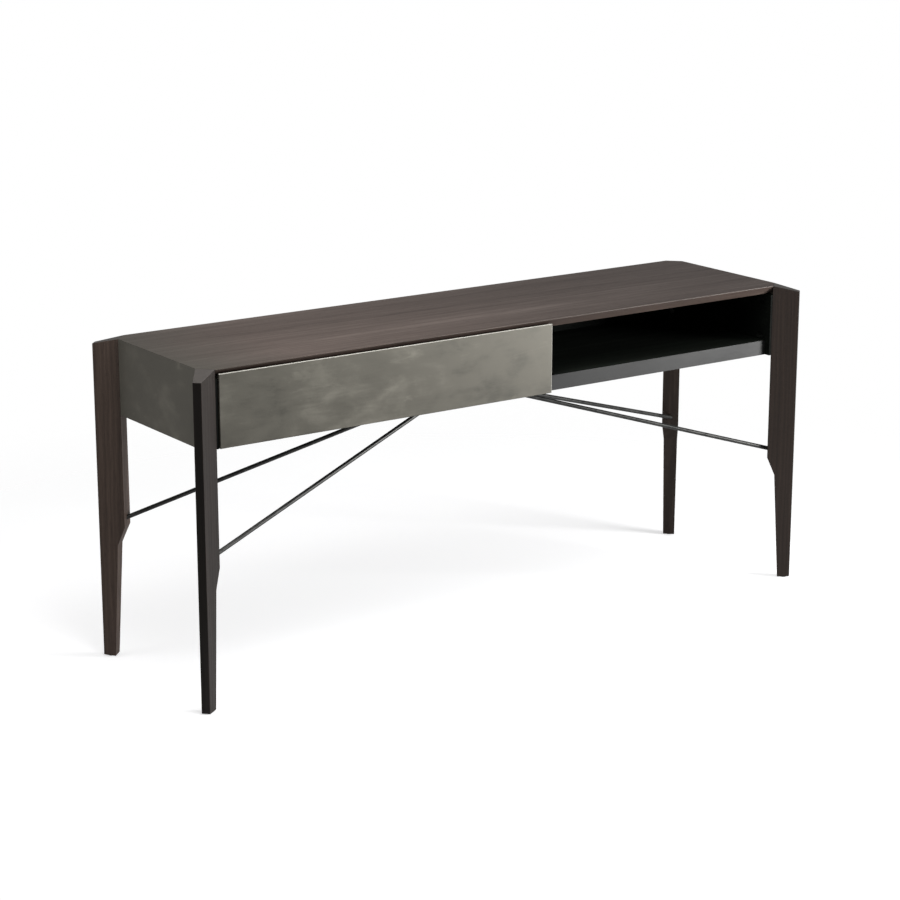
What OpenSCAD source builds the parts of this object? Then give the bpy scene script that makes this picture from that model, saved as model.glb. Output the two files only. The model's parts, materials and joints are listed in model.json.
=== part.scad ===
// Console table: a case with one wide drawer and one open bay, carried by four blade legs
// set diagonally on its cut corners, and braced by four rods that meet in a hub under the case.
// X runs along the table, the front faces -Y, and the floor is Z = 0 under the middle.

/* [Overall] */
// Length over the legs
overall_length = 1700; // [1400:10:2200]
// Depth over the legs
overall_depth = 484; // [440:2:620]
// Height of the top surface
overall_height = 750; // [690:5:820]
// Height of the case, from its underside to the top surface
case_height = 174; // [160:1:220]
// How far each corner of the case is cut back along both sides
corner_cut = 30.5; // [26:0.5:38]

/* [Boards] */
// Thickness of the top board
top_t = 22; // [18:1:30]
// Upright land left at the front edge of the top, above its undercut
top_nose = 2; // [1:0.5:4]
// How far the undercut runs back under the front edge
undercut_reach = 20; // [14:1:26]
// Thickness of the outer side panels
side_t = 22; // [18:1:25]
// Thickness of the liners inside the side panels
liner_t = 14; // [12:1:20]
// Thickness of the back panel
back_t = 18; // [12:1:22]
// Thickness of the bottom panel
bottom_t = 36; // [30:1:40]
// Thickness of the strip that finishes the bottom's front edge
lipping_t = 4; // [2:0.5:8]
// Thickness of the divider beside the drawer
divider_t = 22; // [18:1:25]
// Clear width of the open bay
bay_width = 674; // [400:2:800]

/* [Legs] */
// Width of a leg from its inner face to its outer edge
leg_depth = 64.5; // [55:0.5:80]
// Thickness of a leg at its outer edge
leg_outer_t = 19; // [16:0.5:26]
// How far the leg's top slopes down towards its outer edge
leg_drop = 15; // [8:1:25]
// Height of the upper end of the shoulder
shoulder_z = 314; // [280:1:330]
// Height that the shoulder takes to step in
shoulder_h = 45; // [30:1:70]
// How far the shoulder steps in
shoulder_step = 19; // [10:1:24]
// Width of a leg at its foot
foot_depth = 30; // [26:0.5:36]
// Thickness of the glide under each foot
glide_t = 2.5; // [2:0.5:5]
// Radius of the glide
glide_r = 9; // [7:0.5:9.5]

/* [Rods] */
// Diameter of the bracing rods
rod_d = 10; // [8:0.5:11]
// Height above the shoulder at which a rod enters its leg
rod_above_shoulder = 19; // [14:1:60]
// How deep a rod sits in its leg
rod_embed = 20; // [12:1:22]
// Distance of a rod's inner end from the middle of the hub
rod_end_x = 30; // [28:1:36]

/* [Drawer] */
// Thickness of the drawer front
front_t = 18; // [16:0.5:22]
// How far the drawer front stands proud of the top's front edge
front_proud = 3; // [1:0.5:4]
// Flat land along the upper edge of the drawer front, in front of its sloped back
front_lip = 4; // [3:0.5:6]
// Depth of the drawer front's upper edge below the top surface
front_top_gap = 10.6; // [9:0.2:14]
// Gap between the drawer front and the liner beside it
reveal = 1.5; // [1:0.5:3]
// Gap between the closed drawer front and the case behind it
front_gap = 0.5; // [0.4:0.1:2]
// Thickness of the drawer box's walls
box_t = 12; // [10:1:15]
// Clear depth behind the closed drawer box
box_back_gap = 27; // [15:1:80]
// Thickness of the drawer's bottom
box_bottom_t = 6; // [4:1:8]
// How deep the drawer's bottom sits in its grooves
groove_depth = 6; // [4:1:7]
// Height of the drawer's bottom above the lower edge of its walls
groove_rise = 8; // [6:1:14]
// Clear height between the bottom panel and the drawer box
box_rise = 6; // [4:1:10]

/* [Slides] */
// Space that a slide takes between the drawer box and the wall beside it
slide_t = 13; // [13:0.5:14]
// Height of a slide
slide_h = 36; // [34:1:40]
// How far the slides start behind the drawer front
slide_setback = 3; // [2:1:20]
// Height of a slide above the lower edge of the drawer box
slide_rise = 18; // [16:1:20]
// How much shorter the middle member is than the slide
slide_middle_short = 24; // [10:1:60]
// Sheet thickness of the slide members
slide_sheet = 1.4; // [1.2:0.1:1.5]

/* [Fittings] */
// Radius of a leg bolt
bolt_r = 4; // [3:0.5:4]
// Length of a leg bolt under its head
bolt_length = 35; // [30:1:38]
// Height of the lower leg bolts above the case's floor
leg_bolt_low = 10; // [9:0.5:14]
// Depth of the upper leg bolts below the top board
leg_bolt_high = 20; // [16:1:30]
// Wood left under the head of a leg bolt
bolt_seat = 14; // [12:0.5:14]
// Radius of a leg bolt's head
bolt_head_r = 7.5; // [6:0.5:8]
// Outer radius of the threaded inserts in the legs
insert_r = 6; // [5:0.5:6.5]
// Length of the threaded inserts
insert_length = 18; // [12:1:20]
// Radius of the dowels between the boards
dowel_r = 4; // [3:0.5:5]
// Half the length of a dowel in the boards' end grain
dowel_half = 20; // [16:1:22]
// Distance of the outer dowels from the ends of their boards
dowel_end = 50; // [36:1:80]
// Thickness of the hub's plate
hub_plate_t = 3; // [3:0.5:5]
// Length of the hub block
hub_length = 96; // [84:2:110]
// Metal left around a rod at the end of the hub block
hub_wall = 4; // [2.5:0.5:8]
// Length of the push latch's body
latch_length = 75; // [60:1:80]
// Width of the push latch's body
latch_width = 15; // [12:0.5:18]
// Height of the push latch's body
latch_height = 19; // [16:0.5:19]
// Clear height between the push latch and the drawer box
latch_gap = 5; // [3:1:12]
// Radius of the push latch's plunger
plunger_r = 4; // [3:0.25:4.5]

/* [Hidden] */
$fn = 48;
fit = 0.05;          // radial clearance of pins, bolts and rods in their holes
slack = 0.3;         // gap between pieces that move past each other
over = 5;            // how far a cutting shape runs past what it cuts
spare = 1;           // extra depth of a blind hole beyond what goes into it

half_l = overall_length / 2 - leg_reach();
half_d = overall_depth / 2 - leg_reach();
case_z = overall_height - case_height;
floor_z = case_z + bottom_t;
ceiling_z = overall_height - top_t;
inner_x = half_l - side_t - liner_t;
panel_x = half_l - side_t;
back_y = half_d - back_t;
front_back_y = -half_d - front_proud + front_t;
recess_y = front_back_y + front_gap;
undercut_slope = (top_t - top_nose) / undercut_reach;

leg_inner_t = corner_cut * sqrt(2);
leg_x = half_l - corner_cut / 2;
leg_y = half_d - corner_cut / 2;
leg_bolt_z = [floor_z + leg_bolt_low, ceiling_z - leg_bolt_high];
foot_inner = leg_depth - foot_depth;
foot_middle = leg_depth - foot_depth / 2;
glide_stem_r = 2;
glide_stem_h = 10;

// A rod runs from the middle of the leg's inner face towards the middle of the table.
rod_r = rod_d / 2;
rod_skin = 1.5;
rod_leg_z = shoulder_z + rod_above_shoulder;
rod_hub_z = case_z - hub_plate_t - rod_r - rod_skin;
rod_rise = rod_hub_z - rod_leg_z;
rod_ground = norm([leg_x, leg_y]) * (1 - rod_end_x / leg_x);
rod_length = norm([rod_ground, rod_rise]);
rod_tilt = atan2(rod_ground, rod_rise);
rod_slope = rod_rise / (leg_x - rod_end_x);
rod_half_h = rod_r * rod_length / rod_ground;

divider_x = inner_x - bay_width;
divider_left = divider_x - divider_t;
front_y = -half_d - front_proud;
front_top_z = overall_height - front_top_gap;
front_slope_drop = (front_t - front_lip) * undercut_slope;
box_left = -inner_x + slide_t;
box_right = divider_left - slide_t;
box_z = floor_z + box_rise;
box_top_z = ceiling_z - latch_height - latch_gap;
box_back_y = back_y - box_back_gap;
tray_z = box_z + groove_rise;

slide_z = box_z + slide_rise + slide_h / 2;
slide_front_y = front_back_y + slide_setback;
slide_length = box_back_y - slide_setback - slide_front_y;
slide_mouth_gap = 3;
slide_tip_gap = 1;
channel_gap = 1.4;
slide_screw_r = 1.75;
slide_screw_head_r = 3;
slide_screw_head_t = 0.8;
slide_screw_depth = min(box_t, liner_t) - 2;
slide_screw_end = 25;
slide_screw_y = spread(slide_screw_end, slide_length - slide_screw_end, 3);
middle_web = slide_sheet + slide_screw_head_t + 2 * slack;
middle_edge = slide_t - slide_sheet - 2 * slack;
middle_half_h = slide_h / 2 - slide_sheet - channel_gap;
drawer_edge = middle_web + slide_sheet + slide_tip_gap;
drawer_half_h = middle_half_h - slide_sheet - channel_gap;

bolt_head_t = 4.4;
pocket_r = bolt_head_r + spare;
hub_screw_r = 2.25;
hub_screw_head_r = 4.2;
hub_screw_head_t = 2;
hub_screw_length = 18;
hub_screw_edge = 8.5;
hub_z = case_z - hub_plate_t;
hub_width = 2 * ceil(hub_length / 2 * leg_y / leg_x + rod_r + hub_wall);
hub_bottom_z = floor(rod_z(hub_length / 2) - rod_half_h - hub_wall);
hub_screw_x = hub_length / 2 + hub_screw_edge;
hub_screw_y = hub_width / 2 + hub_screw_edge - hub_screw_head_r;
grub_setback = 11;
grub_x = rod_end_x + grub_setback;
grub_r = 2;
grub_h = rod_z(grub_x) - rod_half_h - grub_r * rod_slope - 2 * fit - hub_bottom_z;

latch_flange_t = 2.5;
latch_flange_length = 12;
latch_margin = 2;
latch_end_wall = 5;
latch_screw_r = 1.75;
latch_screw_head_t = 1.5;
latch_screw_length = 12;
latch_x = (box_left + box_right) / 2;
latch_front_y = -half_d + undercut_reach + latch_margin + latch_flange_length;
plunger_drop = 2.5;
plunger_length = 40;
plunger_reach = latch_front_y - front_back_y - slack;
latch_z = ceiling_z - latch_height / 2 - plunger_drop;

front_screw_r = 2;
front_screw_grip = 12;
front_screw_head_t = 2;
front_screw_end = 100;
front_screw_x = spread(box_left + front_screw_end, box_right - front_screw_end, 4);
front_screw_z = box_top_z - 20;

dowel_z = case_z + bottom_t / 2;
side_dowel_y = spread(recess_y + dowel_end, back_y - dowel_end, 3);
back_dowel_x = spread(-inner_x + dowel_end, inner_x - dowel_end, 4);
divider_dowel_y = spread(recess_y + dowel_end, back_y - dowel_end, 2);
liner_dowel_depth = liner_t - 2;
back_dowel_depth = back_t - 6;
top_dowel_depth = top_t - 10;

corners = [["front_left", -1, -1], ["front_right", 1, -1], ["rear_left", -1, 1], ["rear_right", 1, 1]];

// How far a leg's outer corner stands outside the case, along X and along Y.
function leg_reach() = (leg_depth + leg_outer_t / 2) / sqrt(2) - corner_cut / 2;

// Places spread evenly from one value to another.
function spread(low, high, count) = [for (i = [0:count - 1]) low + (high - low) * i / (count - 1)];

// Height of a rod's axis at a distance along X from the middle of the table.
function rod_z(x) = rod_hub_z - rod_slope * (x - rod_end_x);

// A box given by its two corners.
module block(low, high) {
    translate([0, 0, low.z]) linear_extrude(high.z - low.z) polygon([
        [low.x, low.y], [high.x, low.y], [high.x, high.y], [low.x, high.y]
    ]);
}

// Plan of the case with its four cut corners.
module case_plan() {
    polygon([
        [-half_l + corner_cut, -half_d], [half_l - corner_cut, -half_d],
        [half_l, -half_d + corner_cut], [half_l, half_d - corner_cut],
        [half_l - corner_cut, half_d], [-half_l + corner_cut, half_d],
        [-half_l, half_d - corner_cut], [-half_l, -half_d + corner_cut]
    ]);
}

module case_volume() {
    translate([0, 0, case_z]) linear_extrude(case_height) case_plan();
}

// An outline in Y and Z, run along X from one place to another.
module along_x(x_from, x_to) {
    translate([x_from, 0, 0]) rotate([90, 0, 90]) linear_extrude(x_to - x_from) children();
}

// An outline in X and Z, run along Y from one place to another.
module along_y(y_from, y_to) {
    translate([0, y_to, 0]) rotate([90, 0, 0]) linear_extrude(y_to - y_from) children();
}

// Puts its children at a corner: X runs outwards from the leg's inner face, and Z is up.
module at_corner(c) {
    translate([c[1] * leg_x, c[2] * leg_y, 0]) rotate([0, 0, atan2(c[2], c[1])]) children();
}

// Puts its children where a rod meets its leg, with Z along the rod towards the hub.
module at_rod(c) {
    translate([c[1] * leg_x, c[2] * leg_y, rod_leg_z])
        rotate([0, rod_tilt, atan2(-c[2] * leg_y, -c[1] * leg_x)]) children();
}

// Holes for one corner's leg bolts through the case, with a pocket for each head.
module bolt_holes(c) {
    at_corner(c) for (z = leg_bolt_z) translate([0, 0, z]) rotate([0, -90, 0]) {
        translate([0, 0, -over]) cylinder(h = bolt_seat + 2 * over, r = bolt_r + fit);
        translate([0, 0, bolt_seat]) cylinder(h = side_t + liner_t, r = pocket_r);
    }
}

module top_panel() {
    color("#645a54") difference() {
        intersection() {
            case_volume();
            along_y(-half_d - over, half_d + over) polygon([
                [-half_l, overall_height], [-half_l + side_t, ceiling_z],
                [half_l - side_t, ceiling_z], [half_l, overall_height]
            ]);
            along_x(-half_l - over, half_l + over) polygon([
                [-half_d, overall_height], [-half_d, overall_height - top_nose],
                [-half_d + undercut_reach, ceiling_z], [half_d, ceiling_z], [half_d, overall_height]
            ]);
        }
        divider_dowel_places() cylinder(h = top_dowel_depth + spare, r = dowel_r + fit);
        latch_screw_places() cylinder(h = latch_screw_length + spare, r = latch_screw_r + fit);
    }
}

// The side panels are mitred to the top, so no edge shows from above or from the side.
module side_panel(side) {
    color("#8a897e") difference() {
        intersection() {
            case_volume();
            along_y(-half_d - over, half_d + over) polygon([
                [side * half_l, case_z], [side * half_l, overall_height],
                [side * panel_x, ceiling_z], [side * panel_x, case_z]
            ]);
        }
        for (c = corners) if (c[1] == side) bolt_holes(c);
    }
}
module side_panel_left() { side_panel(-1); }
module side_panel_right() { side_panel(1); }

module side_liner(side) {
    color("#33291f") difference() {
        intersection() {
            case_volume();
            block([min(side * inner_x, side * panel_x), -half_d, case_z],
                [max(side * inner_x, side * panel_x), back_y, ceiling_z]);
        }
        for (c = corners) if (c[1] == side) bolt_holes(c);
        side_dowel_places(side) cylinder(h = liner_dowel_depth + spare, r = dowel_r + fit);
        if (side < 0) slide_screw_places(-1) cylinder(h = slide_screw_depth, r = slide_screw_r + fit);
    }
}
module side_liner_left() { side_liner(-1); }
module side_liner_right() { side_liner(1); }

module back_panel() {
    color("#8a897e") difference() {
        intersection() {
            case_volume();
            block([-panel_x, back_y, case_z], [panel_x, half_d, ceiling_z]);
        }
        for (c = corners) if (c[2] > 0) bolt_holes(c);
        back_dowel_places() cylinder(h = back_dowel_depth + spare, r = dowel_r + fit);
    }
}

module bottom_panel() {
    color("#2b2420") difference() {
        block([-inner_x, recess_y + lipping_t, case_z], [inner_x, back_y, floor_z]);
        for (side = [-1, 1]) side_dowel_places(side) dowel_socket();
        back_dowel_places() dowel_socket();
        floor_dowel_places() dowel_socket();
        hub_screw_places() cylinder(h = hub_screw_length - hub_plate_t + spare, r = hub_screw_r + fit);
    }
}

module bottom_lipping() {
    color("#8f8e84") block([-inner_x, recess_y, case_z], [inner_x, recess_y + lipping_t, floor_z]);
}

module divider() {
    color("#2b2420") difference() {
        block([divider_left, recess_y, floor_z], [divider_x, back_y, ceiling_z]);
        floor_dowel_places() rotate([180, 0, 0]) dowel_socket();
        divider_dowel_places() dowel_socket();
        slide_screw_places(1) cylinder(h = slide_screw_depth, r = slide_screw_r + fit);
    }
}

// Places of the dowels: Z runs into the board that the joint meets.
module side_dowel_places(side) {
    for (y = side_dowel_y) translate([side * inner_x, y, dowel_z]) rotate([0, side * 90, 0]) children();
}
module back_dowel_places() {
    for (x = back_dowel_x) translate([x, back_y, dowel_z]) rotate([-90, 0, 0]) children();
}
module floor_dowel_places() {
    for (y = divider_dowel_y) translate([divider_x - divider_t / 2, y, floor_z]) children();
}
module divider_dowel_places() {
    for (y = divider_dowel_y) translate([divider_x - divider_t / 2, y, ceiling_z]) children();
}

// A dowel's hole in end grain, back from the joint, and a dowel that crosses the joint.
module dowel_socket() {
    translate([0, 0, -dowel_half - spare]) cylinder(h = dowel_half + spare + over, r = dowel_r + fit);
}
module dowel(depth) {
    translate([0, 0, -dowel_half]) cylinder(h = dowel_half + depth, r = dowel_r);
}
module panel_dowels() {
    color("#b98f5e") {
        for (side = [-1, 1]) side_dowel_places(side) dowel(liner_dowel_depth);
        back_dowel_places() dowel(back_dowel_depth);
        floor_dowel_places() dowel(dowel_half);
        divider_dowel_places() dowel(top_dowel_depth);
    }
}

// A leg is a wedge in plan, thick at the case and thin outside, cut to the outline of its side.
module leg(c) {
    color("#3a2e2a") difference() {
        at_corner(c) intersection() {
            linear_extrude(overall_height) polygon([
                [0, -leg_inner_t / 2], [leg_depth, -leg_outer_t / 2],
                [leg_depth, leg_outer_t / 2], [0, leg_inner_t / 2]
            ]);
            along_y(-leg_inner_t, leg_inner_t) polygon([
                [0, overall_height], [0, shoulder_z], [shoulder_step, shoulder_z - shoulder_h],
                [foot_inner, glide_t], [leg_depth, glide_t], [leg_depth, overall_height - leg_drop]
            ]);
        }
        at_corner(c) for (z = leg_bolt_z) translate([-over, 0, z]) rotate([0, 90, 0]) {
            cylinder(h = insert_length + over, r = insert_r + fit);
            cylinder(h = bolt_length - bolt_seat + over + spare, r = bolt_r + fit);
        }
        at_corner(c) translate([foot_middle, 0, 0])
            cylinder(h = glide_t + glide_stem_h + spare, r = glide_stem_r + fit);
        at_rod(c) translate([0, 0, -rod_embed - spare]) cylinder(h = 2 * rod_embed, r = rod_r + fit);
    }
}

module glide(c) {
    color("#1d1c1b") at_corner(c) translate([foot_middle, 0, 0]) {
        cylinder(h = glide_t, r = glide_r);
        cylinder(h = glide_t + glide_stem_h, r = glide_stem_r);
    }
}

module rod(c) {
    color("#3f3f3e") at_rod(c) translate([0, 0, -rod_embed]) cylinder(h = rod_embed + rod_length, r = rod_r);
}

module leg_bolts() {
    color("#77787a") for (c = corners) at_corner(c) for (z = leg_bolt_z)
        translate([-bolt_seat, 0, z]) rotate([0, 90, 0]) {
            cylinder(h = bolt_length, r = bolt_r);
            translate([0, 0, -bolt_head_t]) cylinder(h = bolt_head_t, r = bolt_head_r);
        }
}

module leg_inserts() {
    color("#b08d57") for (c = corners) at_corner(c) for (z = leg_bolt_z)
        translate([0, 0, z]) rotate([0, 90, 0]) difference() {
            cylinder(h = insert_length, r = insert_r);
            translate([0, 0, -over]) cylinder(h = insert_length + 2 * over, r = bolt_r + fit);
        }
}

// The hub holds the inner ends of the rods under the middle of the case.
module hub_screw_places() {
    for (x = [-hub_screw_x, hub_screw_x], y = [-hub_screw_y, hub_screw_y])
        translate([x, y, case_z]) children();
}
module hub_plate() {
    half_x = hub_screw_x + hub_screw_edge;
    half_y = hub_screw_y + hub_screw_edge;
    color("#3f3f3e") difference() {
        block([-half_x, -half_y, hub_z], [half_x, half_y, case_z]);
        hub_screw_places() translate([0, 0, -over]) cylinder(h = 2 * over, r = hub_screw_r + fit);
    }
}
module hub_block() {
    color("#3f3f3e") difference() {
        block([-hub_length / 2, -hub_width / 2, hub_bottom_z], [hub_length / 2, hub_width / 2, hub_z]);
        for (c = corners) {
            at_rod(c) translate([0, 0, rod_length - hub_length]) cylinder(h = hub_length, r = rod_r + fit);
            grub_place(c) translate([0, 0, -over])
                cylinder(h = rod_z(grub_x) - hub_bottom_z + over, r = grub_r + fit);
        }
    }
}
module hub_screws() {
    color("#77787a") hub_screw_places() {
        translate([0, 0, -hub_plate_t]) cylinder(h = hub_screw_length, r = hub_screw_r);
        translate([0, 0, -hub_plate_t - hub_screw_head_t])
            cylinder(h = hub_screw_head_t, r = hub_screw_head_r);
    }
}

// Grub screws clamp the rods from below: each ends just short of its rod.
module grub_place(c) {
    translate([c[1] * grub_x, c[2] * grub_x * leg_y / leg_x, hub_bottom_z]) children();
}
module hub_grub_screws() {
    color("#1f1f20") for (c = corners) grub_place(c) cylinder(h = grub_h, r = grub_r);
}

// A slide has three members, one channel inside another, and opens towards the drawer.
// Here X = 0 is the face of the wall, X runs towards the drawer, and Z = 0 is the slide's middle.
module channel(x_web, x_edge, half_h, length) {
    web_far = x_web + sign(x_edge - x_web) * slide_sheet;
    along_y(slide_front_y, slide_front_y + length) polygon([
        [x_web, -half_h], [x_edge, -half_h], [x_edge, -half_h + slide_sheet],
        [web_far, -half_h + slide_sheet], [web_far, half_h - slide_sheet],
        [x_edge, half_h - slide_sheet], [x_edge, half_h], [x_web, half_h]
    ]);
}
module at_slide(side) {
    if (side < 0) translate([-inner_x, 0, slide_z]) children();
    else translate([divider_left, 0, slide_z]) mirror([1, 0, 0]) children();
}

module slide_cabinet(side) {
    color("#a9abad") difference() {
        at_slide(side) channel(0, slide_t - slide_mouth_gap, slide_h / 2, slide_length);
        slide_screw_places(side) screw_hole();
    }
}
module slide_middle(side) {
    color("#a9abad") at_slide(side)
        channel(middle_web, middle_edge, middle_half_h, slide_length - slide_middle_short);
}
module slide_drawer(side) {
    color("#a9abad") difference() {
        at_slide(side) channel(slide_t, drawer_edge, drawer_half_h, slide_length);
        drawer_screw_places(side) screw_hole();
    }
}
module slide_cabinet_left() { slide_cabinet(-1); }
module slide_cabinet_right() { slide_cabinet(1); }
module slide_middle_left() { slide_middle(-1); }
module slide_middle_right() { slide_middle(1); }
module slide_drawer_left() { slide_drawer(-1); }
module slide_drawer_right() { slide_drawer(1); }

// Slide screws: Z runs into the wall, or with drawer_screw_places into the drawer box.
module slide_screw_places(side) {
    at_slide(side) for (y = slide_screw_y)
        translate([0, slide_front_y + y, 0]) rotate([0, -90, 0]) children();
}
module drawer_screw_places(side) {
    at_slide(side) for (y = slide_screw_y)
        translate([slide_t, slide_front_y + y, 0]) rotate([0, 90, 0]) children();
}
module screw_hole() {
    translate([0, 0, -2 * slide_sheet]) cylinder(h = 3 * slide_sheet, r = slide_screw_r + fit);
}
module slide_screw() {
    translate([0, 0, -slide_sheet]) cylinder(h = slide_screw_depth + slide_sheet - spare, r = slide_screw_r);
    translate([0, 0, -slide_sheet - slide_screw_head_t])
        cylinder(h = slide_screw_head_t, r = slide_screw_head_r);
}
module slide_cabinet_screws() {
    color("#77787a") for (side = [-1, 1]) slide_screw_places(side) slide_screw();
}
module slide_drawer_screws() {
    color("#77787a") for (side = [-1, 1]) drawer_screw_places(side) slide_screw();
}

// The drawer front's back slopes away in step with the undercut of the top above it.
module drawer_front() {
    color("#8a897e") difference() {
        along_x(-inner_x + reveal, divider_x) polygon([
            [front_y, case_z], [front_y, front_top_z], [front_y + front_lip, front_top_z],
            [front_back_y, front_top_z - front_slope_drop], [front_back_y, case_z]
        ]);
        front_screw_places() cylinder(h = front_screw_grip + spare, r = front_screw_r + fit);
    }
}

// Screws from inside the drawer box: Z runs forwards into the drawer front.
module front_screw_places() {
    for (x = front_screw_x) translate([x, front_back_y, front_screw_z]) rotate([90, 0, 0]) children();
}
module drawer_front_screws() {
    color("#77787a") front_screw_places() {
        translate([0, 0, -box_t]) cylinder(h = box_t + front_screw_grip, r = front_screw_r);
        translate([0, 0, -box_t - front_screw_head_t])
            cylinder(h = front_screw_head_t, r = 2 * front_screw_r);
    }
}

// The tray is the drawer's bottom. It sits in grooves in all four walls.
module tray() {
    inset = box_t - groove_depth;
    block([box_left + inset, front_back_y + inset, tray_z],
        [box_right - inset, box_back_y - inset, tray_z + box_bottom_t]);
}
module drawer_inner_front() {
    color("#4a3d34") difference() {
        block([box_left + box_t, front_back_y, box_z], [box_right - box_t, front_back_y + box_t, box_top_z]);
        tray();
        front_screw_places() translate([0, 0, -box_t - over])
            cylinder(h = box_t + 2 * over, r = front_screw_r + fit);
    }
}
module drawer_back() {
    color("#4a3d34") difference() {
        block([box_left + box_t, box_back_y - box_t, box_z], [box_right - box_t, box_back_y, box_top_z]);
        tray();
    }
}
module drawer_side(side) {
    outer_x = side < 0 ? box_left : box_right - box_t;
    color("#4a3d34") difference() {
        block([outer_x, front_back_y, box_z], [outer_x + box_t, box_back_y, box_top_z]);
        tray();
        drawer_screw_places(side) cylinder(h = slide_screw_depth, r = slide_screw_r + fit);
    }
}
module drawer_side_left() { drawer_side(-1); }
module drawer_side_right() { drawer_side(1); }
module drawer_bottom() { color("#4a3d34") tray(); }

// The push latch hangs under the top, behind the drawer front, and its plunger pushes the front open.
module at_latch() {
    translate([latch_x, latch_front_y, latch_z]) rotate([-90, 0, 0]) children();
}
module latch_screw_places() {
    for (y = [-latch_flange_length / 2, latch_length + latch_flange_length / 2])
        translate([latch_x, latch_front_y + y, ceiling_z]) children();
}
module latch_body() {
    half_w = latch_width / 2;
    color("#2c2c2e") difference() {
        union() {
            block([latch_x - half_w, latch_front_y, ceiling_z - latch_height],
                [latch_x + half_w, latch_front_y + latch_length, ceiling_z]);
            block([latch_x - half_w, latch_front_y - latch_flange_length, ceiling_z - latch_flange_t],
                [latch_x + half_w, latch_front_y + latch_length + latch_flange_length, ceiling_z]);
        }
        at_latch() translate([0, 0, -over])
            cylinder(h = latch_length - latch_end_wall + over, r = plunger_r + slack);
        latch_screw_places() translate([0, 0, -2 * over]) cylinder(h = 2 * over, r = latch_screw_r + fit);
    }
}
module latch_plunger() {
    color("#b9b9b6") at_latch() translate([0, 0, -plunger_reach])
        cylinder(h = plunger_reach + plunger_length, r = plunger_r);
}
module latch_screws() {
    color("#77787a") latch_screw_places() {
        translate([0, 0, -latch_flange_t])
            cylinder(h = latch_flange_t + latch_screw_length, r = latch_screw_r);
        translate([0, 0, -latch_flange_t - latch_screw_head_t])
            cylinder(h = latch_screw_head_t, r = 2 * latch_screw_r);
    }
}

top_panel();
side_panel_left();
side_panel_right();
side_liner_left();
side_liner_right();
back_panel();
bottom_panel();
bottom_lipping();
divider();
panel_dowels();
for (c = corners) leg(c);
for (c = corners) glide(c);
for (c = corners) rod(c);
leg_bolts();
leg_inserts();
hub_plate();
hub_block();
hub_screws();
hub_grub_screws();
slide_cabinet_left();
slide_cabinet_right();
slide_middle_left();
slide_middle_right();
slide_drawer_left();
slide_drawer_right();
slide_cabinet_screws();
slide_drawer_screws();
drawer_front();
drawer_inner_front();
drawer_side_left();
drawer_side_right();
drawer_back();
drawer_bottom();
drawer_front_screws();
latch_body();
latch_plunger();
latch_screws();
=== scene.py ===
import json
import math
import bmesh
import bpy
from mathutils import Matrix, Vector

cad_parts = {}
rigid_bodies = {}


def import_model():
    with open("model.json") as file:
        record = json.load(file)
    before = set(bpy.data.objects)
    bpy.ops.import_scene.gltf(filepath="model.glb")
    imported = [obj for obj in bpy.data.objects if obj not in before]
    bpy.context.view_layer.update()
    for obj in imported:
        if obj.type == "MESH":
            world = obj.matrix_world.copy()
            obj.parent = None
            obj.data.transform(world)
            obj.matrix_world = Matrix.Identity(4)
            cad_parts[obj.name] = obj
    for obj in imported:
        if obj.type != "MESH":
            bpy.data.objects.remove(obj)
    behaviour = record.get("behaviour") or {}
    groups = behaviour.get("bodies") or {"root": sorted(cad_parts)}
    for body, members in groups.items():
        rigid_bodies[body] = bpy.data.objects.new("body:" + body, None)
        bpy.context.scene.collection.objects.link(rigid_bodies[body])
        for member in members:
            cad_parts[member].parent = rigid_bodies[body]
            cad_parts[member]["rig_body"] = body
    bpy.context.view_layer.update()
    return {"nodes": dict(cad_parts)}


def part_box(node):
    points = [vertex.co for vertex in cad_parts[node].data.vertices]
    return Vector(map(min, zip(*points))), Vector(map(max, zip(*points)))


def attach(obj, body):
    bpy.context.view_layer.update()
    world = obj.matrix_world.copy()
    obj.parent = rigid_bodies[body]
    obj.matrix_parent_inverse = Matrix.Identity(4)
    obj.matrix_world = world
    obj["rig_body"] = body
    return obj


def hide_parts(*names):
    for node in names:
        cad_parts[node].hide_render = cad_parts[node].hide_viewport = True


# Console table. Everything is in metres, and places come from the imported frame.
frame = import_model()
scene = bpy.context.scene
up = Vector((0, 0, 1))
print("frame loaded with", len(frame["nodes"]), "nodes")


# camera

cameraSetup = {
    "lens": 97.6,
    "azimuth": -34.87,     # degrees round from the front, minus is to the left
    "elevation": 15.09,
    "distance": 5.6,
    "aim": (-0.1347, -0.1369, 0.4601),
}


def placeCamera(setup):
    around, above = math.radians(setup["azimuth"]), math.radians(setup["elevation"])
    back = Vector((math.sin(around) * math.cos(above), -math.cos(around) * math.cos(above), math.sin(above)))
    camera = bpy.data.objects.new("camera", bpy.data.cameras.new("camera"))
    camera.data.lens = setup["lens"]
    camera.location = Vector(setup["aim"]) + back * setup["distance"]
    camera.rotation_euler = (-back).to_track_quat("-Z", "Y").to_euler()
    scene.collection.objects.link(camera)
    scene.camera = camera


placeCamera(cameraSetup)
print("camera placed")


# studio

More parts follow.
